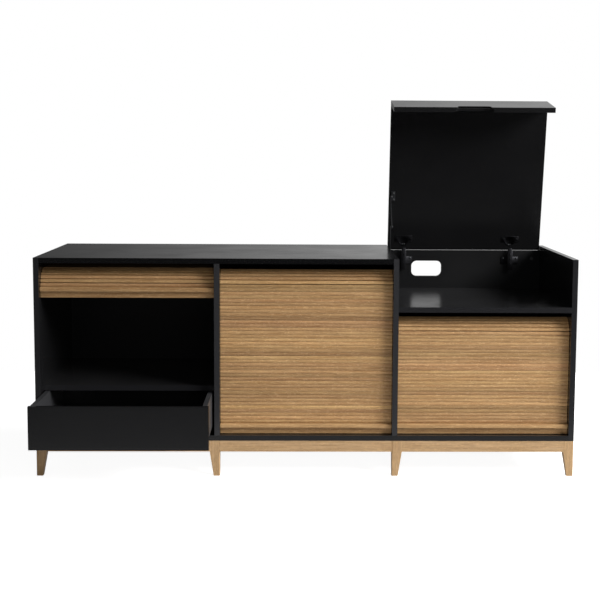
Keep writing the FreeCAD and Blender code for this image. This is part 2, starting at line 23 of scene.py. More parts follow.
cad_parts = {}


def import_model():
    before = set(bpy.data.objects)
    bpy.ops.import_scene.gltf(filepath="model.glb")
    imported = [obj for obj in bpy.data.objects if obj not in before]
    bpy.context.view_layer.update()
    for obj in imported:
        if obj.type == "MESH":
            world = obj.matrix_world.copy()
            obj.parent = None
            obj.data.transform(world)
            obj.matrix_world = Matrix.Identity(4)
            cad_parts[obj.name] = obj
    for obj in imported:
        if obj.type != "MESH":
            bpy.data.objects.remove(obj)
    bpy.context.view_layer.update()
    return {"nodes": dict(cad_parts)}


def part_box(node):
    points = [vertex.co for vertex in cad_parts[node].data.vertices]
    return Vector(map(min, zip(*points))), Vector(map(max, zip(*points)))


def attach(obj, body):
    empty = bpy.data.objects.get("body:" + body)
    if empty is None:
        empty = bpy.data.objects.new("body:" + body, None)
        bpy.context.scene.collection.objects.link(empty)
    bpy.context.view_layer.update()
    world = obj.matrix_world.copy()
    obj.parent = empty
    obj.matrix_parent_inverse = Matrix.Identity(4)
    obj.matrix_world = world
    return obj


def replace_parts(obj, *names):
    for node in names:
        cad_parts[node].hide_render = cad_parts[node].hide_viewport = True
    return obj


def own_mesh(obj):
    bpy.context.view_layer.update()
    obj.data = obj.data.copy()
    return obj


LOG = logging.getLogger("credenza")
PICTURE_SIDE = 600
MM = 0.001

# Corners closer than this are one corner, and faces that turn less than this are one face.
SAME_PLACE = 0.001 * MM
FLAT_DEG = 1.0
# Edges that turn more are rounded where edges are eased, or kept sharp where they are shaded.
EASED_DEG = 40.0
SHARP_DEG = 32.0
EASE_STEPS = 2
ROUND_STEPS = 24

HINGES = (367.0 * MM, 768.0 * MM)
HINGE_EASE = 0.6 * MM
SCREW_SEAT = 1.6 * MM
# Radius and height of each ring of a domed head, as shares of the whole.
DOME = ((0.0, 0.0), (1.0, 0.0), (1.0, 0.3), (0.92, 0.62), (0.7, 0.86), (0.36, 0.97), (0.0, 1.0))

SLAT_TONE = "slat_tone"
SLAT_HUE = "slat_hue"
# Most values of a noise texture lie in this range.
NOISE_SPAN = (0.3, 0.7)
# A wave texture at scale 1 runs through this angle in each metre.
WAVE_TURN = 20.0


class Grain(Enum):
    """Direction that the wood grain runs in, as the index of a frame axis."""

    ALONG = 0
    ACROSS = 1
    UPRIGHT = 2


class Relief(Enum):
    """Texture that a surface's relief is drawn with."""

    GRIT = "TexNoise"
    DENTS = "TexVoronoi"


class Part(Enum):
    """Bodies of the frame that pieces ride on, beside the tambours."""

    CARCASS = "carcass"
    LID = "lid"
    STAY_LOWER = "stay_lower"


def linear(colour: str) -> tuple[float, float, float, float]:
    """Turn an sRGB hex colour into linear red, green, blue and alpha.

    Args:
        colour: hex value such as "#C8A070".

    Returns:
        Four linear values from 0 to 1.
    """
    values = [int(colour[n:n + 2], 16) / 255 for n in (1, 3, 5)]
    toned = [v / 12.92 if v <= 0.04045 else ((v + 0.055) / 1.055) ** 2.4 for v in values]
    return toned[0], toned[1], toned[2], 1.0


def add(tree: NodeTree, kind: str, inputs: dict[Any, Any] | None = None, **settings: Any) -> Node:
    """Add a node, set its properties and set or link its inputs.

    Args:
        tree: node tree that takes the node.
        kind: what follows ShaderNode in Blender's name for the node.
        inputs: value, or output socket to link, for each input by name or index.
        settings: properties of the node itself.

    Returns:
        The new node.
    """
    node = tree.nodes.new(f"ShaderNode{kind}")
    for name, value in settings.items():
        setattr(node, name, value)
    for key, value in (inputs or {}).items():
        if isinstance(value, NodeSocket):
            tree.links.new(value, node.inputs[key])
        else:
            node.inputs[key].default_value = value
    return node


def per_metre(*lengths_mm: float) -> tuple[float, ...]:
    """Pattern scales, in repeats per metre, from real lengths in millimetres."""
    return tuple(1.0 / (length * MM) for length in lengths_mm)


@dataclass(frozen=True)
class Finish:
    """A named surface finish, shown by one Principled shader."""

    name: str

    def material(self) -> Material:
        """Make the finish's material.

        Returns:
            A new material with its nodes in place.
        """
        made = bpy.data.materials.new(self.name)
        made.use_nodes = True
        tree = made.node_tree
        tree.nodes.clear()
        shader = add(tree, "BsdfPrincipled", self.surface(tree))
        add(tree, "OutputMaterial", {"Surface": shader.outputs[0]})
        return made

    def surface(self, tree: NodeTree) -> dict[str, Any]:
        """Add the nodes of the finish's pattern.

        Args:
            tree: the material's node tree.

        Returns:
            Value, or output socket to link, for each of the shader's inputs.
        """
        raise NotImplementedError


@dataclass(frozen=True)
class Coat(Finish):
    """A skin whose tone and sheen follow soft clouds, over a fine relief."""

    tones: tuple[str, str]
    roughness: tuple[float, float]
    cloud_mm: float
    cloud_octaves: float
    relief_mm: float
    relief_depth_mm: float
    relief: Relief = Relief.GRIT
    relief_octaves: float = 2.0
    relief_strength: float = 0.5
    metallic: float = 0.0

    def surface(self, tree: NodeTree) -> dict[str, Any]:
        """Add the clouds and the relief.

        Args:
            tree: the material's node tree.

        Returns:
            The shader's inputs.
        """
        at = add(tree, "TexCoord").outputs["Object"]
        cloud = add(tree, "TexNoise", {
            "Vector": at, "Scale": per_metre(self.cloud_mm)[0],
            "Detail": self.cloud_octaves}).outputs["Fac"]
        height = add(tree, self.relief.value, {
            "Vector": at, "Scale": per_metre(self.relief_mm)[0],
            "Detail": self.relief_octaves}).outputs[0]
        tone = add(tree, "Mix", {
            "Factor": cloud, "A": linear(self.tones[0]), "B": linear(self.tones[1])},
            data_type="RGBA").outputs["Result"]
        low, high = self.roughness
        sheen: Any = low
        if high > low:
            sheen = add(tree, "MapRange", {
                "Value": cloud, "From Min": NOISE_SPAN[0], "From Max": NOISE_SPAN[1],
                "To Min": low, "To Max": high}).outputs["Result"]
        bump = add(tree, "Bump", {
            "Height": height, "Strength": self.relief_strength,
            "Distance": self.relief_depth_mm * MM}).outputs["Normal"]
        return {"Base Color": tone, "Roughness": sheen, "Normal": bump,
                "Metallic": self.metallic}


@dataclass(frozen=True)
class Lacquer(Coat):
    """Black or graphite lacquer, sprayed on board and lightly flatted.

    A band is the tone of the edges that face the front, where it differs from the board's.
    """

    # The eye gets a dark board, a soft sheen that whitens at a low angle, faint clouds and
    # orange peel from the spray, and on some boards a greyer or darker front edge.
    tones: tuple[str, str] = ("#181819", "#1C1C1D")
    roughness: tuple[float, float] = (0.17, 0.24)
    cloud_mm: float = 160.0
    cloud_octaves: float = 3.0
    relief_mm: float = 4.0
    relief_depth_mm: float = 0.012
    band: str = ""
    band_facing: tuple[float, float] = (-0.7, -0.9)

    def surface(self, tree: NodeTree) -> dict[str, Any]:
        """Add the front band to the clouds and the orange peel.

        Args:
            tree: the material's node tree.

        Returns:
            The shader's inputs.
        """
        inputs = super().surface(tree)
        if self.band:
            faces = add(tree, "TexCoord").outputs["Normal"]
            ahead = add(tree, "SeparateXYZ", {0: faces}).outputs["Y"]
            edge = add(tree, "MapRange", {
                "Value": ahead, "From Min": self.band_facing[0],
                "From Max": self.band_facing[1]}).outputs["Result"]
            inputs["Base Color"] = add(tree, "Mix", {
                "Factor": edge, "A": inputs["Base Color"], "B": linear(self.band)},
                data_type="RGBA").outputs["Result"]
        return inputs


@dataclass(frozen=True)
class PlatedSteel(Coat):
    """Pressed steel, tumbled and plated."""

    # The eye gets a grey metal with soft cloudy patches of plating and tiny tumbling dents.
    # The dents are under 0.1 mm; they are drawn coarser so that they show.
    roughness: tuple[float, float] = (0.28, 0.42)
    cloud_mm: float = 7.0
    cloud_octaves: float = 4.0
    relief_mm: float = 0.6
    relief_depth_mm: float = 0.008
    relief: Relief = Relief.DENTS
    relief_octaves: float = 0.0
    relief_strength: float = 0.4
    metallic: float = 1.0


@dataclass(frozen=True)
class MouldedNylon(Coat):
    """Injection-moulded black nylon with a spark-eroded texture."""

    # The eye gets a dull black with a fine even grit that breaks up the light.
    # Eroded grit is about 0.1 mm; it is drawn coarser so that it shows.
    tones: tuple[str, str] = ("#0E0E0F", "#151516")
    roughness: tuple[float, float] = (0.55, 0.55)
    cloud_mm: float = 0.8
    cloud_octaves: float = 2.0
    relief_mm: float = 0.8
    relief_depth_mm: float = 0.03


@dataclass(frozen=True)
class Layer:
    """One pattern of the wood: width across the grain and length along it, and where it shows.

    The pattern starts to show at the first limit of its noise and is at full strength at the other.
    """

    size_mm: tuple[float, float]
    octaves: float
    wave: float
    limits: tuple[float, float] = NOISE_SPAN
    strength: float = 1.0


@dataclass(frozen=True)
class OiledOak(Finish):
    """Plain-sawn oak, planed, sanded and oiled.

    Tone and hue, where they are named, are attributes of the mesh that vary piece by piece.
    """

    grain: Grain = Grain.ALONG
    pale: str = "#C19B6C"
    warm: str = "#A98155"
    brown: str = "#855C32"
    pore: str = "#684424"
    ray: str = "#D2AD80"
    rings: Layer = Layer((5.0, 260.0), 3.0, 0.5, (0.34, 0.66))
    # Real pores are under 0.3 mm wide; streaks and pores are drawn coarser so that they show.
    streaks: Layer = Layer((1.3, 70.0), 4.0, 0.2, (0.5, 0.78), 0.6)
    pores: Layer = Layer((0.9, 24.0), 2.0, 0.0, (0.6, 0.74), 0.55)
    rays: Layer = Layer((5.0, 11.0), 2.0, 1.2, (0.53, 0.68), 0.55)
    figure: Layer = Layer((9.0, 60.0), 3.0, 0.9)
    figure_span: float = 0.1
    level: float = 1.0
    tone: str = ""
    tone_span: float = 0.3
    hue: str = ""
    hue_middle: float = 0.5
    hue_span: float = 0.005
    oil_limits: tuple[float, float] = (0.4, 0.7)
    roughness: tuple[float, float] = (0.46, 0.62)
    pore_depth_mm: float = 0.06
    pore_strength: float = 0.6
    oil_sheen: float = 0.35

    def drawn(self, tree: NodeTree, layer: Layer) -> NodeSocket:
        """Add noise that is drawn out along the grain.

        Args:
            tree: the material's node tree.
            layer: the pattern.

        Returns:
            The noise's output, from 0 to 1.
        """
        wide, long = per_metre(*layer.size_mm)
        scale = [wide, wide, wide]
        scale[self.grain.value] = long
        at = add(tree, "TexCoord").outputs["Object"]
        drawn = add(tree, "Mapping", {"Vector": at, "Scale": scale})
        return add(tree, "TexNoise", {
            "Vector": drawn.outputs["Vector"], "Scale": 1.0, "Detail": layer.octaves,
            "Distortion": layer.wave}).outputs["Fac"]

    def surface(self, tree: NodeTree) -> dict[str, Any]:
        """Add the layers of the wood, its tone and the sheen of the oil.

        Args:
            tree: the material's node tree.

        Returns:
            The shader's inputs.
        """
        # The eye gets pale honey bands, brown growth lines, short dark pores along the
        # grain, paler ray flecks, and a dull oil sheen that is a little rougher in the pores.
        colours = {self.rings: self.warm, self.streaks: self.brown, self.pores: self.pore,
                   self.rays: self.ray}
        noises = {layer: self.drawn(tree, layer) for layer in colours}
        wood: Any = linear(self.pale)
        for layer, colour in colours.items():
            share = add(tree, "MapRange", {
                "Value": noises[layer], "From Min": layer.limits[0],
                "From Max": layer.limits[1], "To Max": layer.strength}).outputs["Result"]
            wood = add(tree, "Mix", {
                "Factor": share, "A": wood, "B": linear(colour)},
                data_type="RGBA").outputs["Result"]
        bright = add(tree, "MapRange", {
            "Value": self.drawn(tree, self.figure), "From Min": self.figure.limits[0],
            "From Max": self.figure.limits[1],
            "To Min": self.level * (1.0 - self.figure_span),
            "To Max": self.level * (1.0 + self.figure_span)}).outputs["Result"]
        hue: Any = self.hue_middle
        if self.tone:
            tone = add(tree, "Attribute", attribute_name=self.tone).outputs["Fac"]
            shade = add(tree, "MapRange", {
                "Value": tone, "To Min": 1.0 - self.tone_span, "To Max": 1.0 + self.tone_span})
            bright = add(tree, "Math", {
                0: bright, 1: shade.outputs["Result"]}, operation="MULTIPLY").outputs[0]
            cast = add(tree, "Attribute", attribute_name=self.hue).outputs["Fac"]
            hue = add(tree, "MapRange", {
                "Value": cast, "To Min": self.hue_middle - self.hue_span,
                "To Max": self.hue_middle + self.hue_span}).outputs["Result"]
        wood = add(tree, "HueSaturation", {
            "Color": wood, "Hue": hue, "Value": bright}).outputs["Color"]
        dull = add(tree, "MapRange", {
            "Value": noises[self.pores], "From Min": self.oil_limits[0],
            "From Max": self.oil_limits[1], "To Min": self.roughness[0],
            "To Max": self.roughness[1]}).outputs["Result"]
        bump = add(tree, "Bump", {
            "Height": noises[self.pores], "Strength": self.pore_strength,
            "Distance": self.pore_depth_mm * MM}, invert=True).outputs["Normal"]
        return {"Base Color": wood, "Roughness": dull, "Normal": bump,
                "Specular IOR Level": self.oil_sheen}


@dataclass(frozen=True)
class CottonCanvas(Finish):
    """Plain-woven cotton canvas, glued behind the slats."""

    thread: str = "#5A4B3C"
    # The hollow tone is painted shade between the threads.
    hollow_shade: str = "#2E261E"
    # Canvas threads are about 0.6 mm apart; they are drawn coarser so that they show.
    thread_mm: float = 0.754
    thread_depth_mm: float = 0.15
    thread_strength: float = 0.7
    roughness: float = 0.9

    def surface(self, tree: NodeTree) -> dict[str, Any]:
        """Add the weave.

        Args:
            tree: the material's node tree.

        Returns:
            The shader's inputs.
        """
        # The eye gets brown threads that cross over and under, and painted shade in the dark
        # hollows between them.
        at = add(tree, "TexCoord").outputs["Object"]
        scale = per_metre(self.thread_mm)[0] * math.tau / WAVE_TURN
        warp, weft = (add(tree, "TexWave", {"Vector": at, "Scale": scale},
                          bands_direction=way).outputs["Fac"] for way in "XZ")
        over = add(tree, "Math", {0: warp, 1: weft}, operation="MULTIPLY").outputs[0]
        tone = add(tree, "Mix", {
            "Factor": over, "A": linear(self.hollow_shade), "B": linear(self.thread)},
            data_type="RGBA").outputs["Result"]
        bump = add(tree, "Bump", {
            "Height": over, "Strength": self.thread_strength,
            "Distance": self.thread_depth_mm * MM}).outputs["Normal"]
        return {"Base Color": tone, "Roughness": self.roughness, "Normal": bump}


class Finishes:
    """The materials of the whole piece, each made once."""

    def __init__(self) -> None:
        """Make every material."""
        # Black boards, plain or with a front edge that looks greyer or darker than their faces.
        self.lacquer = Lacquer("satin_black_lacquer").material()
        self.banded = Lacquer("satin_black_lacquer_grey_front_edges", band="#232325").material()
        self.pale_banded = Lacquer(
            "satin_black_lacquer_pale_front_edges", band="#303032").material()
        self.dark_banded = Lacquer(
            "satin_black_lacquer_dark_front_edges", band="#0E0E0F").material()
        # A lid painted a deeper black as shade, duller backs painted darker as shade in their
        # recesses, shelves painted paler as light on their tops, and dark grey drawer sides.
        self.deep = Lacquer("satin_black_lacquer_lid_painted_shade", ("#131314", "#171718")).material()
        self.dull = Lacquer(
            "semi_matt_black_lacquer_painted_shade", ("#121213", "#161617"), (0.32, 0.38)).material()
        self.painted_light_shelves = Lacquer("satin_black_lacquer_shelves_painted_light", ("#232324", "#2B2B2C"),
                              band="#232325").material()
        self.graphite = Lacquer(
            "satin_graphite_lacquer", ("#363638", "#3D3D3F"), (0.36, 0.44)).material()
        # Legs and rails are paler than the slats, which vary, and one pull bar is painted darker,
        # as shade for the dimmer light on it.
        legs = {"pale": "#C6A57E", "warm": "#B49268", "brown": "#98744A"}
        self.oak_along = OiledOak("oiled_oak_rails", Grain.ALONG, **legs).material()
        self.oak_across = OiledOak("oiled_oak_side_rails", Grain.ACROSS, **legs).material()
        self.oak_upright = OiledOak("oiled_oak_legs", Grain.UPRIGHT, **legs).material()
        self.oak_slat = OiledOak("oiled_oak_slats", tone=SLAT_TONE, hue=SLAT_HUE).material()
        self.oak_bar = OiledOak("oiled_oak_pull_bars").material()
        self.oak_bar_painted_shade = OiledOak("oiled_oak_pull_bar_painted_shade", level=0.8).material()
        self.canvas = CottonCanvas("cotton_canvas").material()
        # Near-black hinges and screws, a dark grey stay, pale pins and links, bluish slides.
        self.black_nickel = PlatedSteel("black_nickel_steel", ("#3A3A3C", "#262628")).material()
        self.burnished = PlatedSteel(
            "burnished_black_nickel_steel", ("#48484B", "#303033"), (0.34, 0.48)).material()
        self.nickel = PlatedSteel("nickel_steel", ("#B9BABD", "#8F9093")).material()
        self.stay = PlatedSteel("dark_nickel_steel", ("#77787B", "#5E5F62")).material()
        self.zinc = PlatedSteel("zinc_steel", ("#B4B7BB", "#94979B"), cloud_mm=14.0).material()
        self.nylon = MouldedNylon("moulded_black_nylon").material()


def wall(shape: BMesh, low: list[BMVert], high: list[BMVert]) -> list[BMFace]:
    """Close the faces between two rings of corners, either of which may be a single tip.

    Args:
        shape: takes the new faces.
        low: one ring.
        high: the other ring.

    Returns:
        The new faces.
    """
    count = max(len(low), len(high))
    faces = []
    for n in range(count):
        m = (n + 1) % count
        corners = [low[n % len(low)], low[m % len(low)],
                   high[m % len(high)], high[n % len(high)]]
        faces.append(shape.faces.new(list(dict.fromkeys(corners))))
    return faces


def ease_edges(shape: BMesh, edges: list[BMEdge], width: float) -> None:
    """Round some edges of a shape to a width."""
    bmesh.ops.bevel(shape, geom=edges, offset=width, offset_type="OFFSET", segments=EASE_STEPS,
                    profile=0.5, affect="EDGES", clamp_overlap=True)


def lathe(shape: BMesh, outline: list[tuple[float, float]], place: Matrix) -> None:
    """Turn an outline about its own Z axis into a closed round solid.

    Args:
        shape: takes the new faces.
        outline: radius and height of each ring, from the middle of the base to the tip.
        place: where the solid stands in the frame.
    """
    turns = [math.tau * n / ROUND_STEPS for n in range(ROUND_STEPS)]
    rings = []
    for radius, height in outline:
        ring = [Vector((radius * math.cos(t), radius * math.sin(t), height)) for t in turns]
        rings.append([shape.verts.new(place @ at) for at in (ring if radius else ring[:1])])
    for low, high in zip(rings, rings[1:]):
        wall(shape, low, high)


def dome(radius: float, height: float) -> list[tuple[float, float]]:
    """Outline of a domed head, for the lathe."""
    return [(radius * wide, height * tall) for wide, tall in DOME]


def facing(point: Vector, axis: Vector) -> Matrix:
    """Place at a point with its own Z along an axis."""
    return Matrix.Translation(point) @ axis.to_track_quat("Z", "Y").to_matrix().to_4x4()


@dataclass
class Builder:
    """Shares the frame and the finishes among the sub-assemblies."""

    nodes: dict[str, Object]
    finishes: Finishes
    made: int = 0

    def dress(self, finish: Material, *nodes: str) -> None:
        """Give frame nodes their finish.

        Args:
            finish: the material.
            nodes: the nodes' names.
        """
        for node in nodes:
            slots = self.nodes[node].data.materials
            slots.clear()
            slots.append(finish)
            LOG.info("dressed %s in %s", node, finish.name)

    def piece(self, name: str, shape: BMesh, finishes: list[Material],
              body: str, sharp_deg: float = SHARP_DEG) -> Object:
        """Turn a finished shape into a piece that rides on a body.

        Args:
            name: the piece's name.
            shape: its geometry in the frame, which is freed.
            finishes: its materials, in the order of the faces' indices.
            body: the body that it rides on.
            sharp_deg: angle from which an edge stays sharp.

        Returns:
            The new object.
        """
        bmesh.ops.recalc_face_normals(shape, faces=shape.faces)
        for face in shape.faces:
            face.smooth = True
        mesh = bpy.data.meshes.new(name)
        shape.to_mesh(mesh)
        shape.free()
        mesh.set_sharp_from_angle(angle=math.radians(sharp_deg))
        for finish in finishes:
            mesh.materials.append(finish)
        made = bpy.data.objects.new(name, mesh)
        bpy.context.scene.collection.objects.link(made)
        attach(made, body)
        self.made += 1
        LOG.info("built %s on %s, %d faces", name, body, len(mesh.polygons))
        return made

    def copy(self, node: str) -> BMesh:
        """Copy the shape of a frame node.

        Args:
            node: the node's name.

        Returns:
            The shape, with corners that lie in one place joined.
        """
        shape = bmesh.new()
        shape.from_mesh(self.nodes[node].data)
        bmesh.ops.remove_doubles(shape, verts=shape.verts, dist=SAME_PLACE)
        return shape

    def eased(self, node: str, finish: Material, body: str, width: float) -> None:
        """Build a copy of a frame node whose sharp edges are rounded, in the node's place.

        Args:
            node: the node's name.
            finish: its material.
            body: the body that it rides on.
            width: width of the rounding.
        """
        shape = self.copy(node)
        bmesh.ops.dissolve_limit(shape, angle_limit=math.radians(FLAT_DEG), verts=shape.verts,
                                 edges=shape.edges)
        limit = math.radians(EASED_DEG)
        ease_edges(shape, [e for e in shape.edges if e.calc_face_angle(0.0) > limit], width)
        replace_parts(self.piece(f"{node}_eased", shape, [finish], body), node)

    def islands(self, node: str) -> list[tuple[Vector, Vector]]:
        """Boxes of the separate solids in a frame node.

        Args:
            node: the node's name.

        Returns:
            Lowest and highest corner of each solid, in the order of their places.
        """
        shape = self.copy(node)
        left = set(shape.verts)
        boxes = []
        while left:
            group = [left.pop()]
            for vert in group:
                near = {e.other_vert(vert) for e in vert.link_edges} & left
                left -= near
                group.extend(near)
            spread = [[v.co[k] for v in group] for k in range(3)]
            boxes.append((Vector([min(s) for s in spread]), Vector([max(s) for s in spread])))
        shape.free()
        return sorted(boxes, key=lambda box: tuple(box[0]))


@dataclass
class ScrewHead:
    """Pan head with a cross recess, drawn with its seat on the origin."""

    radius: float = 3.2 * MM
    height: float = 1.7 * MM
    slot_half_width: float = 0.4 * MM
    slot_reach: float = 1.9 * MM
    slot_depth: float = 0.8 * MM
    wall_half_width: float = 0.02 * MM
    rim_fall: float = 0.45
    rim_rings: tuple[float, ...] = (0.4, 0.75)

    def top(self, x: float, y: float) -> float:
        """Height of the dome at a point, or of the recess where it is cut in.

        Args:
            x: place across the head, before its grid is drawn into rings.
            y: place across the head the other way.

        Returns:
            The height above the seat.
        """
        span = min(math.hypot(x, y) / self.radius, 1.0)
        dome_height = self.height * (1.0 - self.rim_fall * span ** 3)
        near, far = sorted((abs(x), abs(y)))
        cut = near < self.slot_half_width and far < self.slot_reach
        return dome_height - (self.slot_depth if cut else 0.0)

    def marks(self) -> list[float]:
        """Work out the grid lines across the head, close together at the recess's walls.

        Returns:
            Place of each line, from one side of the rim to the other.
        """
        rim = self.radius - self.slot_reach
        walls = [at + side * self.wall_half_width
                 for at in (self.slot_half_width, self.slot_reach) for side in (-1.0, 1.0)]
        half = walls[:2] + [self.slot_reach / 2] + walls[2:]
        half += [self.slot_reach + share * rim for share in self.rim_rings] + [self.radius]
        return [-v for v in reversed(half)] + [0.0] + half

    def add_to(self, shape: BMesh, place: Matrix) -> None:
        """Add one head to a shape.

        Args:
            shape: takes the new faces.
            place: where the head sits, with its own Z outward.
        """
        marks = self.marks()
        last = len(marks) - 1
        grid = {}
        feet = {}
        for i, x in enumerate(marks):
            for j, y in enumerate(marks):
                # Squares of the grid are drawn out into rings, so that the rim is round.
                reach = max(abs(x), abs(y))
                span = math.hypot(x, y)
                ease = (reach - self.slot_reach) / (self.radius - self.slot_reach)
                pull = 1.0 + max(ease, 0.0) * (reach / span - 1.0) if span else 1.0
                feet[i, j] = Vector((x * pull, y * pull, 0.0))
                up = Vector((0.0, 0.0, self.top(x, y)))
                grid[i, j] = shape.verts.new(place @ (feet[i, j] + up))
        for i in range(last):
            for j in range(last):
                shape.faces.new([grid[i, j], grid[i + 1, j], grid[i + 1, j + 1], grid[i, j + 1]])
        rim = ([(i, 0) for i in range(last)] + [(last, j) for j in range(last)]
               + [(i, last) for i in range(last, 0, -1)] + [(0, j) for j in range(last, 0, -1)])
        seat = [shape.verts.new(place @ feet[at]) for at in rim]
        wall(shape, [grid[at] for at in rim], seat)
        shape.faces.new(seat)


class Assembly:
    """One sub-assembly: the frame nodes that it finishes and the pieces that it adds."""

    def dress(self, builder: Builder) -> None:
        """Finish the frame nodes that are kept, if there are any."""

    def build(self, builder: Builder) -> None:
        """Build pieces beside the frame's or in their place, if there are any."""


@dataclass
class Carcass(Assembly):
    """Black panels, backs and shelves."""

    backs: tuple[str, ...] = ("left_back_panel", "middle_back_panel", "right_back_panel")
    sides: tuple[str, ...] = ("left_side_panel", "right_side_panel")
    shelves: tuple[str, ...] = ("drawer_shelf", "well_shelf")
    dividers: tuple[str, ...] = ("left_divider", "right_divider")

    def dress(self, builder: Builder) -> None:
        """Lacquer the panels and colour the fixing cap.

        Args:
            builder: gives the finishes.
        """
        builder.dress(builder.finishes.dark_banded, "top_panel")
        builder.dress(builder.finishes.lacquer, "bottom_panel")
        # The backs are duller and painted darker, as shade in their recesses.
        builder.dress(builder.finishes.dull, *self.backs)
        builder.dress(builder.finishes.banded, *self.sides)
        # The shelves are painted paler, as light on their tops.
        builder.dress(builder.finishes.painted_light_shelves, *self.shelves)
        builder.dress(builder.finishes.pale_banded, *self.dividers)
        builder.dress(builder.finishes.graphite, "back_panel_cap")


@dataclass
class OakBase(Assembly):
    """Two leg frames and the rails between them."""

    frames: tuple[str, ...] = ("left_frame", "right_frame")
    corners: tuple[str, ...] = ("front_left", "front_right", "rear_left", "rear_right")

    def dress(self, builder: Builder) -> None:
        """Lay the grain along each leg and rail.

        Args:
            builder: gives the finishes.
        """
        oak = builder.finishes
        for name in self.frames:
            builder.dress(oak.oak_upright, *(f"{name}_leg_{corner}" for corner in self.corners))
            builder.dress(oak.oak_along, f"{name}_front_rail", f"{name}_rear_rail")
            builder.dress(oak.oak_across, f"{name}_side_rails")
        builder.dress(oak.oak_along, "bridge_rails")


@dataclass
class Lid(Assembly):
    """Lid over the well, standing open, with its hinges' cups.

    The sizes are those of the shut lid, which is swung open about its axis.
    """

    open_deg: float = 79.5
    axis: tuple[float, float] = (274.0 * MM, 724.0 * MM)
    hinges: tuple[float, ...] = HINGES
    ease: float = HINGE_EASE
    link_offset: float = 3.4 * MM
    link_at: tuple[float, float] = (259.0 * MM, 726.5 * MM)
    link_size: tuple[float, float, float] = (3.6 * MM, 3.0 * MM, 9.0 * MM)
    pin_radius: float = 1.5 * MM
    pin_height: float = 1.0 * MM
    fascia_x: tuple[float, float] = (308.0 * MM, 880.0 * MM)
    fascia_y: tuple[float, float] = (-280.0 * MM, -262.0 * MM)
    fascia_z: tuple[float, float] = (574.0 * MM, 732.0 * MM)
    notch_size: tuple[float, float] = (120.0 * MM, 25.0 * MM)
    notch_radius: float = 12.0 * MM
    cove: float = 7.0 * MM
    cove_share: float = 0.6
    layers: int = 9
    corner_steps: int = 8
    head: ScrewHead = field(default_factory=ScrewHead)

    @property
    def swing(self) -> Matrix:
        """Turn that takes a place on the shut lid to the open one."""
        pivot = Matrix.Translation(Vector((0.0, *self.axis)))
        return pivot @ Matrix.Rotation(-math.radians(self.open_deg), 4, "X") @ pivot.inverted()

    def dress(self, builder: Builder) -> None:
        """Finish the lid board and the blocks."""
        # The lid board is painted a deeper black, as shade on its underside.
        builder.dress(builder.finishes.deep, "lid_panel")
        builder.dress(builder.finishes.nylon, "lid_corner_blocks")

    def build(self, builder: Builder) -> None:
        """Build the screw heads, the hinges' cups and links, and the front board.

        Args:
            builder: gives the finishes and takes the pieces.
        """
        finishes = builder.finishes
        # The way that the lid's underside faces while it is open.
        out = self.swing.to_3x3() @ Vector((0.0, 0.0, -1.0))
        bracket_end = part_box("stay_lid_bracket")[1].x
        for name, finish, of_bracket in (
                ("lid_screw_heads", finishes.black_nickel, False),
                ("stay_bracket_screw_heads", finishes.nickel, True)):
            heads = bmesh.new()
            for low, high in builder.islands("lid_screws"):
                seat = (low + high) / 2 - out * (SCREW_SEAT / 2)
                if (seat.x < bracket_end) == of_bracket:
                    self.head.add_to(heads, facing(seat, out))
            made = builder.piece(name, heads, [finish], Part.LID.value)
            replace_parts(made, "lid_screws")
        builder.eased("hinge_cups", finishes.burnished, Part.LID.value, self.ease)
        links = bmesh.new()
        for x in self.hinges:
            for side in (-1.0, 1.0):
                foot = Vector((x + side * self.link_offset, *self.link_at))
                self.link(links, self.swing @ Matrix.Translation(foot))
        builder.piece("hinge_links", links, [finishes.nickel], Part.LID.value)
        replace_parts(self.fascia(builder), "lid_fascia")

    def link(self, shape: BMesh, place: Matrix) -> None:
        """Add one link of a hinge, with the domed head of its pin at the outer end.

        Args:
            shape: takes the new faces.
            place: foot of the link in the cup, with its own Z into the lid.
        """
        wide, deep, tall = self.link_size
        middle = place @ Matrix.Translation(Vector((0.0, 0.0, -tall / 2)))
        body = bmesh.ops.create_cube(
            shape, size=1.0, matrix=middle @ Matrix.Diagonal((wide, deep, tall, 1.0)))
        edges = dict.fromkeys(edge for vert in body["verts"] for edge in vert.link_edges)
        ease_edges(shape, list(edges), self.ease)
        tip = place @ Matrix.Translation(Vector((0.0, 0.0, -tall)))
        lathe(shape, dome(self.pin_radius, self.pin_height),
              tip @ Matrix.Rotation(math.pi, 4, "X"))

    def notch(self) -> list[tuple[Vector, Vector]]:
        """Draw the line of the finger notch, from one foot over its round corners to the other.

        Returns:
            Each place with its way into the wood, in X and Z.
        """
        middle = sum(self.fascia_x) / 2
        half = self.notch_size[0] / 2 - self.notch_radius
        foot = self.fascia_z[0]
        centre = foot + self.notch_size[1] - self.notch_radius
        line = [(Vector((middle - half - self.notch_radius, foot)), Vector((-1.0, 0.0)))]
        for side, start in ((-1.0, math.pi), (1.0, math.pi / 2)):
            for n in range(self.corner_steps + 1):
                turn = start - math.pi / 2 * n / self.corner_steps
                way = Vector((math.cos(turn), math.sin(turn)))
                line.append((Vector((middle + side * half, centre)) + way * self.notch_radius, way))
        line.append((Vector((middle + half + self.notch_radius, foot)), Vector((1.0, 0.0))))
        return line

    def fascia(self, builder: Builder) -> Object:
        """Build the front board, whose notch is coved for the fingers.

        Args:
            builder: gives the finish and takes the piece.

        Returns:
            The new board.
        """
        shape = bmesh.new()
        (left, right), (foot, head) = self.fascia_x, self.fascia_z
        rings = []
        for n in range(self.layers):
            part = n / (self.layers - 1)
            y = self.fascia_y[0] + part * (self.fascia_y[1] - self.fascia_y[0])
            deep = self.cove * math.sin(math.pi / 2 * min(part / self.cove_share, 1.0))
            places = [Vector((left, head)), Vector((left, foot))]
            places += [at + way * deep for at, way in self.notch()]
            places += [Vector((right, foot)), Vector((right, head))]
            rings.append([shape.verts.new(self.swing @ Vector((at.x, y, at.y))) for at in places])
        for low, high in zip(rings, rings[1:]):
            wall(shape, low, high)
        shape.faces.new(list(reversed(rings[0])))
        shape.faces.new(rings[-1])
        return builder.piece("lid_fascia_board", shape, [builder.finishes.lacquer],
                             Part.LID.value)


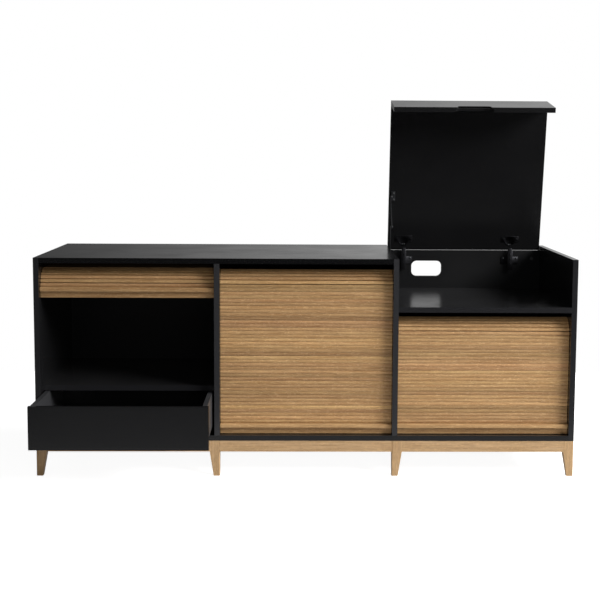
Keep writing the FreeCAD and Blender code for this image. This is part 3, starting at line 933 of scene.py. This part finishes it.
@dataclass
class Well(Assembly):
    """Hinge arms, mounting plates and screws that stay on the back of the well."""

    steel: tuple[str, ...] = ("hinge_arms", "hinge_mounting_plates")
    hinges: tuple[float, ...] = HINGES
    ease: float = HINGE_EASE
    arm_front: float = 248.0 * MM
    arm_screws: tuple[float, ...] = (700.0 * MM, 684.0 * MM, 667.0 * MM)
    head: ScrewHead = field(default_factory=ScrewHead)
    small_head: ScrewHead = field(default_factory=lambda: ScrewHead(
        radius=2.8 * MM, height=1.1 * MM, slot_reach=1.8 * MM))

    def build(self, builder: Builder) -> None:
        """Build the arms and plates, the screw heads in the well and the arms' own screws.

        Args:
            builder: gives the finishes and takes the pieces.
        """
        for node in self.steel:
            builder.eased(node, builder.finishes.burnished, Part.CARCASS.value,
                          self.ease)
        front, inward = Vector((0, -1, 0)), Vector((1, 0, 0))
        heads = bmesh.new()
        for low, high in builder.islands("well_screws"):
            size = high - low
            axis = front if size.y < size.x else inward
            seat = (low + high) / 2 - axis * (SCREW_SEAT / 2)
            self.head.add_to(heads, facing(seat, axis))
        made = builder.piece("well_screw_heads", heads, [builder.finishes.stay],
                             Part.CARCASS.value)
        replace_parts(made, "well_screws")
        screws = bmesh.new()
        for x in self.hinges:
            for z in self.arm_screws:
                self.small_head.add_to(screws, facing(Vector((x, self.arm_front, z)), front))
        builder.piece("hinge_arm_screws", screws, [builder.finishes.black_nickel],
                      Part.CARCASS.value)


@dataclass
class Stay(Assembly):
    """Folding stay at the left end of the lid."""

    arms: tuple[str, ...] = ("stay_base", "stay_lower_arm", "stay_upper_arm", "stay_lid_bracket")
    pins: tuple[tuple[str, Part], ...] = (
        ("stay_base_pin", Part.CARCASS), ("stay_elbow_pin", Part.STAY_LOWER),
        ("stay_lid_pin", Part.LID))
    rivet_radius: float = 4.4 * MM
    rivet_height: float = 1.5 * MM

    def dress(self, builder: Builder) -> None:
        """Finish the arms, brackets and pins."""
        builder.dress(builder.finishes.stay, *self.arms)
        builder.dress(builder.finishes.nickel, *(node for node, _ in self.pins))

    def build(self, builder: Builder) -> None:
        """Build a domed rivet head on the near end of each pin.

        Args:
            builder: gives the finish and takes the pieces.
        """
        for node, home in self.pins:
            low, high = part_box(node)
            middle = (low + high) / 2
            tip = Vector((high.x, middle.y, middle.z))
            shape = bmesh.new()
            lathe(shape, dome(self.rivet_radius, self.rivet_height),
                  facing(tip, Vector((1, 0, 0))))
            builder.piece(node.replace("_pin", "_rivet"), shape, [builder.finishes.nickel],
                          home.value)


@dataclass
class Drawer(Assembly):
    """Inner drawer and its slides."""

    boards: tuple[str, ...] = ("drawer_front", "drawer_bottom", "drawer_back")
    sides: tuple[str, ...] = ("drawer_left_side", "drawer_right_side")
    members: tuple[str, ...] = ("slide_cabinet_members", "slide_middle_members",
                                "slide_drawer_members")

    def dress(self, builder: Builder) -> None:
        """Lacquer the boards and plate the slides.

        Args:
            builder: gives the finishes.
        """
        builder.dress(builder.finishes.lacquer, *self.boards)
        builder.dress(builder.finishes.graphite, *self.sides)
        builder.dress(builder.finishes.zinc, *self.members)


@dataclass
class Tambour(Assembly):
    """One slatted front: pull bar, slats and the canvas behind them.

    A slat follows its track from the front, round a bend and back under a panel. Each slat is a
    piece of its own.
    """

    side: str
    level: float
    slats: int
    travel: float
    seed: int
    # A dark tambour's slats and pull bar are painted darker, as shade for the dimmer light at the
    # left.
    dark: bool = False
    floor: float = 138.0 * MM
    plane: float = -266.0 * MM
    bend: float = 45.0 * MM
    pitch: float = 12.0 * MM
    gap: float = 0.55 * MM
    shoulder: float = 8.5 * MM
    thickness: float = 10.0 * MM
    canvas: float = 0.8 * MM
    crown_steps: int = 12
    sharp_deg: float = 40.0
    # Shades run from 0, the darkest, to 1. A few slats in a row come from one board.
    # A dark tambour's lower shade is painted shade for the dimmer light on it.
    plain_shade: float = 0.5
    painted_shade_mean: float = 0.35
    board_spread: float = 0.1
    board_slats: tuple[int, int] = (2, 5)
    slat_spread: float = 0.16
    cast: float = 0.5
    cast_spread: float = 0.25
    # Slats that must shift more than the least shift off their pull bar's path get a mesh of their
    # own.
    keep: float = 0.99
    least_shift: float = 1.0 * MM

    @property
    def joint(self) -> str:
        """Name of the joint that moves this tambour."""
        return f"{self.side}_tambour_run"

    @property
    def body(self) -> str:
        """Name of the body that the pieces ride on."""
        return f"{self.side}_tambour"

    @property
    def rise(self) -> float:
        """Length of the track's upright stretch."""
        return self.level - self.bend - self.floor

    def turn(self, s: float) -> float:
        """Angle of the track at a distance along it, from upright to level."""
        return min(max((s - self.rise) / self.bend, 0.0), math.pi / 2)

    def point(self, s: float, out: float) -> Vector:
        """Place beside the track.

        Args:
            s: distance along the track from the cabinet's floor.
            out: distance outward from the canvas.

        Returns:
            The place, at X = 0.
        """
        turn = self.turn(s)
        reach = self.bend + out
        beyond = max(s - self.rise - self.bend * math.pi / 2, 0.0)
        y = self.plane + self.bend - reach * math.cos(turn) + beyond
        z = self.level - self.bend + reach * math.sin(turn) + min(s - self.rise, 0.0)
        return Vector((0.0, y, z))

    def outline(self) -> list[tuple[float, float]]:
        """Draw the section of a slat, whose front is an arc between two shoulders.

        Returns:
            Distance outward and height of each corner, from the lower back one.
        """
        half = (self.pitch - self.gap) / 2
        crown_rise = self.thickness - self.shoulder
        radius = (half * half + crown_rise * crown_rise) / (2 * crown_rise)
        spread = math.asin(half / radius)
        turns = [spread * (2 * n / self.crown_steps - 1) for n in range(self.crown_steps + 1)]
        crown = [(self.thickness - radius + radius * math.cos(t), radius * math.sin(t))
                 for t in turns]
        return [(0.0, -half)] + crown + [(0.0, half)]

    def strip(self) -> list[tuple[float, float]]:
        """Section of the canvas behind one slat."""
        half = self.pitch / 2
        return [(-self.canvas, -half), (0.0, -half), (0.0, half), (-self.canvas, half)]

    def extrude(self, shape: BMesh, section: list[tuple[float, float]],
                span: tuple[float, float], place: Matrix, finish: int) -> None:
        """Draw a section out along X.

        Args:
            shape: takes the new faces.
            section: distance outward and height of each corner.
            span: X of the two ends.
            place: where the section's origin is in the frame.
            finish: index of the faces' material.
        """
        left, right = ([shape.verts.new(place @ Vector((x, -out, up))) for out, up in section]
                       for x in span)
        faces = [shape.faces.new(list(reversed(left))), shape.faces.new(right)]
        for face in faces + wall(shape, left, right):
            face.material_index = finish

    def dress(self, builder: Builder) -> None:
        """Finish the pull bar, which keeps its frame node."""
        oak = builder.finishes
        # A dark tambour's pull bar is painted darker, as shade.
        builder.dress(oak.oak_bar_painted_shade if self.dark else oak.oak_bar, f"{self.body}_pull_bar")

    def build(self, builder: Builder) -> None:
        """Build the slats, each with its strip of canvas, in place of the frame's.

        Args:
            builder: gives the finishes and takes the pieces.
        """
        low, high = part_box(f"{self.body}_cloth")
        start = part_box(f"{self.body}_pull_bar")[1].z - self.floor
        middle = self.thickness / 2
        to_back = Matrix.Translation(Vector((0.0, middle, 0.0)))
        for n, (tone, cast) in enumerate(self.tones()):
            s = start + (n + 0.5) * self.pitch
            centre = self.point(s, middle)
            # Slats that wait out of sight under the panel lie as they will show at the front.
            turn = self.turn(s) if self.turn(s) < math.pi / 2 else 0.0
            place = Matrix.Translation(centre) @ Matrix.Rotation(-turn, 4, "X") @ to_back
            shape = bmesh.new()
            self.extrude(shape, self.outline(), (low.x, high.x), place, 0)
            self.extrude(shape, self.strip(), (low.x, high.x), place, 1)
            for name, value in ((SLAT_TONE, tone), (SLAT_HUE, cast)):
                layer = shape.verts.layers.float.new(name)
                for vert in shape.verts:
                    vert[layer] = value
            made = builder.piece(f"{self.body}_slat_{n + 1:02d}", shape,
                                 [builder.finishes.oak_slat, builder.finishes.canvas],
                                 self.body, sharp_deg=self.sharp_deg)
            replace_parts(made, f"{self.body}_slats", f"{self.body}_cloth")
            self.route(made, centre, self.point(s + self.travel, middle))

    def tones(self) -> list[tuple[float, float]]:
        """Draw the shade and the cast of each slat, from 0 to 1.

        Slats are ripped from a few boards, so that neighbours often have a like shade.

        Returns:
            One pair for each slat, from the pull bar on.
        """
        draw = random.Random(self.seed)
        drawn = []
        while len(drawn) < self.slats:
            board = draw.gauss(self.painted_shade_mean if self.dark else self.plain_shade,
                               self.board_spread)
            for _ in range(draw.randint(*self.board_slats)):
                shade = draw.gauss(board, self.slat_spread)
                cast = draw.gauss(self.cast, self.cast_spread)
                drawn.append((min(max(shade, 0.0), 1.0), min(max(cast, 0.0), 1.0)))
        return drawn[:self.slats]

    def route(self, slat: Object, rest: Vector, far: Vector) -> None:
        """Give a slat a mesh of its own where its place at the end of the travel
        lies off its pull bar's path.

        Args:
            slat: the piece, which already rides with the pull bar.
            rest: its middle at rest.
            far: its middle at the end of the travel.
        """
        shift = far - rest - Vector((0.0, 0.0, self.travel))
        if shift.length > self.least_shift:
            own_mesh(slat)


@dataclass
class Lamp:
    """Soft box aimed at a point."""

    name: str
    place: tuple[float, float, float]
    aim: tuple[float, float, float]
    size: tuple[float, float]
    watts: float
    mirrored: bool = True

    def build(self) -> None:
        """Add the lamp to the scene."""
        data = bpy.data.lights.new(self.name, "AREA")
        data.shape = "RECTANGLE"
        data.size, data.size_y = self.size
        data.energy = self.watts
        lamp = bpy.data.objects.new(self.name, data)
        lamp.location = self.place
        lamp.rotation_euler = (Vector(self.aim) - Vector(self.place)).to_track_quat(
            "-Z", "Y").to_euler()
        lamp.visible_camera = False
        lamp.visible_glossy = self.mirrored
        bpy.context.scene.collection.objects.link(lamp)


@dataclass
class Studio:
    """White sweep, soft boxes and the camera.

    Each pair that is mirrored or behind is a place or direction with the brightness there.
    """

    floor_half_width: float = 2.6
    floor_ends: tuple[float, float] = (-1.75, 1.6)
    floor_colour: str = "#E6E6E6"
    floor_seen: float = 0.92
    mirrored_far: tuple[float, float] = (-1.2, 0.15)
    mirrored_near: tuple[float, float] = (-0.75, 0.5)
    ambient: float = 0.06
    behind_left: tuple[float, float] = (-0.25, 0.09)
    behind_right: tuple[float, float] = (0.25, 0.68)
    behind_from: float = 0.6
    before: float = 0.03
    camera_at: tuple[float, float, float] = (-0.02383, -4.25437, 1.09363)
    yaw_deg: float = -1.019
    pitch_deg: float = 5.984
    roll_deg: float = 0.322
    focal_px: float = 1204.63
    centre_px: tuple[float, float] = (320.77, 274.85)
    sensor_mm: float = 36.0
    lamps: tuple[Lamp, ...] = (
        Lamp("key_box", (6.75, -4.1, 4.76), (0.0, 0.0, 0.45), (4.2, 3.4), 790.0),
        Lamp("side_box", (7.65, -1.08, 5.04), (0.0, 0.0, 0.45), (2.5, 2.5), 430.0),
        Lamp("fill_box", (0.3, -4.0, 1.0), (0.0, 0.0, 0.5), (1.6, 0.8), 20.0, mirrored=False),
    )

    def sees(self, tree: NodeTree) -> tuple[NodeSocket, NodeSocket]:
        """Sockets that are 1 for rays that see the background, and for mirrored ones.

        Args:
            tree: node tree of the floor or the world.

        Returns:
            One socket for camera rays, one for glossy and transmitted rays.
        """
        path = add(tree, "LightPath").outputs
        mirrored = add(tree, "Math", {
            0: path["Is Glossy Ray"], 1: path["Is Transmission Ray"]}, operation="MAXIMUM")
        return path["Is Camera Ray"], mirrored.outputs[0]

    def paper(self) -> Material:
        """Make the floor's material.

        Returns:
            A pale paper that lifts to white for the camera.
        """
        # The eye gets plain white with a faint shadow, and grey where boards and metal mirror it.
        made = bpy.data.materials.new("matt_white_paper")
        made.use_nodes = True
        tree = made.node_tree
        tree.nodes.clear()
        seen, mirrored = self.sees(tree)
        lit = add(tree, "Math", {0: seen, 1: self.floor_seen}, operation="MULTIPLY")
        at = add(tree, "TexCoord").outputs["Object"]
        ahead = add(tree, "SeparateXYZ", {0: at}).outputs["Y"]
        (far_y, dim), (near_y, bright) = self.mirrored_far, self.mirrored_near
        fall = add(tree, "MapRange", {
            "Value": ahead, "From Min": far_y, "From Max": near_y, "To Min": dim, "To Max": bright})
        diffuse = add(tree, "BsdfDiffuse", {"Color": linear(self.floor_colour)})
        lift = add(tree, "Emission", {"Strength": lit.outputs[0]})
        both = add(tree, "AddShader", {0: diffuse.outputs[0], 1: lift.outputs[0]})
        image = add(tree, "Emission", {"Strength": fall.outputs["Result"]})
        shown = add(tree, "MixShader", {
            0: mirrored, 1: both.outputs[0], 2: image.outputs[0]})
        add(tree, "OutputMaterial", {"Surface": shown.outputs[0]})
        return made

    def floor(self) -> None:
        """Lay the pale floor under the piece and before it."""
        shape = bmesh.new()
        wide = self.floor_half_width
        near, far = self.floor_ends
        corners = [(-wide, near), (wide, near), (wide, far), (-wide, far)]
        shape.faces.new([shape.verts.new((x, y, 0.0)) for x, y in corners])
        mesh = bpy.data.meshes.new("floor")
        shape.to_mesh(mesh)
        shape.free()
        mesh.materials.append(self.paper())
        floor = bpy.data.objects.new("floor", mesh)
        bpy.context.scene.collection.objects.link(floor)

    def world(self) -> None:
        """White to the camera, grey behind the piece in reflections, dim elsewhere."""
        world = bpy.data.worlds.new("studio")
        bpy.context.scene.world = world
        world.use_nodes = True
        tree = world.node_tree
        tree.nodes.clear()
        seen, mirrored = self.sees(tree)
        way = add(tree, "TexCoord").outputs["Generated"]
        apart = add(tree, "SeparateXYZ", {0: way}).outputs
        (left_x, dim), (right_x, bright) = self.behind_left, self.behind_right
        behind = add(tree, "MapRange", {
            "Value": apart["X"], "From Min": left_x, "From Max": right_x, "To Min": dim,
            "To Max": bright}, interpolation_type="SMOOTHSTEP")
        backdrop = add(tree, "MapRange", {
            "Value": apart["Y"], "From Min": 0.0, "From Max": self.behind_from,
            "To Min": self.before, "To Max": behind.outputs["Result"]},
            interpolation_type="SMOOTHSTEP")
        light = add(tree, "Mix", {
            "Factor": mirrored, "A": self.ambient, "B": backdrop.outputs["Result"]})
        strength = add(tree, "Mix", {
            "Factor": seen, "A": light.outputs["Result"], "B": 1.0})
        sky = add(tree, "Background", {
            "Color": (1.0, 1.0, 1.0, 1.0), "Strength": strength.outputs["Result"]})
        add(tree, "OutputWorld", {"Surface": sky.outputs[0]})

    def camera(self) -> None:
        """Stand the camera where the photograph was taken."""
        yaw, pitch, roll = (math.radians(a) for a in (self.yaw_deg, self.pitch_deg, self.roll_deg))
        ahead = Vector((-math.sin(yaw) * math.cos(pitch), math.cos(yaw) * math.cos(pitch),
                        -math.sin(pitch)))
        level = ahead.cross(Vector((0, 0, 1))).normalized()
        above = level.cross(ahead)
        right = level * math.cos(roll) + above * math.sin(roll)
        up = above * math.cos(roll) - level * math.sin(roll)
        data = bpy.data.cameras.new("camera")
        data.sensor_width = self.sensor_mm
        data.lens = self.focal_px / PICTURE_SIDE * self.sensor_mm
        data.shift_x = 0.5 - self.centre_px[0] / PICTURE_SIDE
        data.shift_y = self.centre_px[1] / PICTURE_SIDE - 0.5
        camera = bpy.data.objects.new("camera", data)
        turned = Matrix((right, up, -ahead)).transposed().to_4x4()
        camera.matrix_world = Matrix.Translation(Vector(self.camera_at)) @ turned
        bpy.context.scene.collection.objects.link(camera)
        bpy.context.scene.camera = camera

    def build(self) -> None:
        """Set up the whole studio."""
        self.floor()
        self.world()
        for lamp in self.lamps:
            lamp.build()
        self.camera()
        bpy.context.scene.view_settings.view_transform = "Standard"


def main() -> None:
    """Load the frame, dress and build each sub-assembly, and set up the studio."""
    logging.basicConfig(level=logging.INFO, format="%(name)s: %(message)s")
    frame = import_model()
    builder = Builder(frame["nodes"], Finishes())
    tambours = (
        # The left tambour is painted darker, as shade for the dimmer light at the left end.
        Tambour("left", 682.0 * MM, 44, -310.0 * MM, seed=11, dark=True),
        Tambour("middle", 682.0 * MM, 44, 458.0 * MM, seed=23),
        Tambour("right", 522.0 * MM, 31, 298.0 * MM, seed=37))
    for assembly in (Carcass(), OakBase(), Lid(), Well(), Stay(), Drawer(), *tambours):
        assembly.dress(builder)
        assembly.build(builder)
    Studio().build()
    LOG.info("%d pieces built", builder.made)


if __name__ == "__main__":
    main()
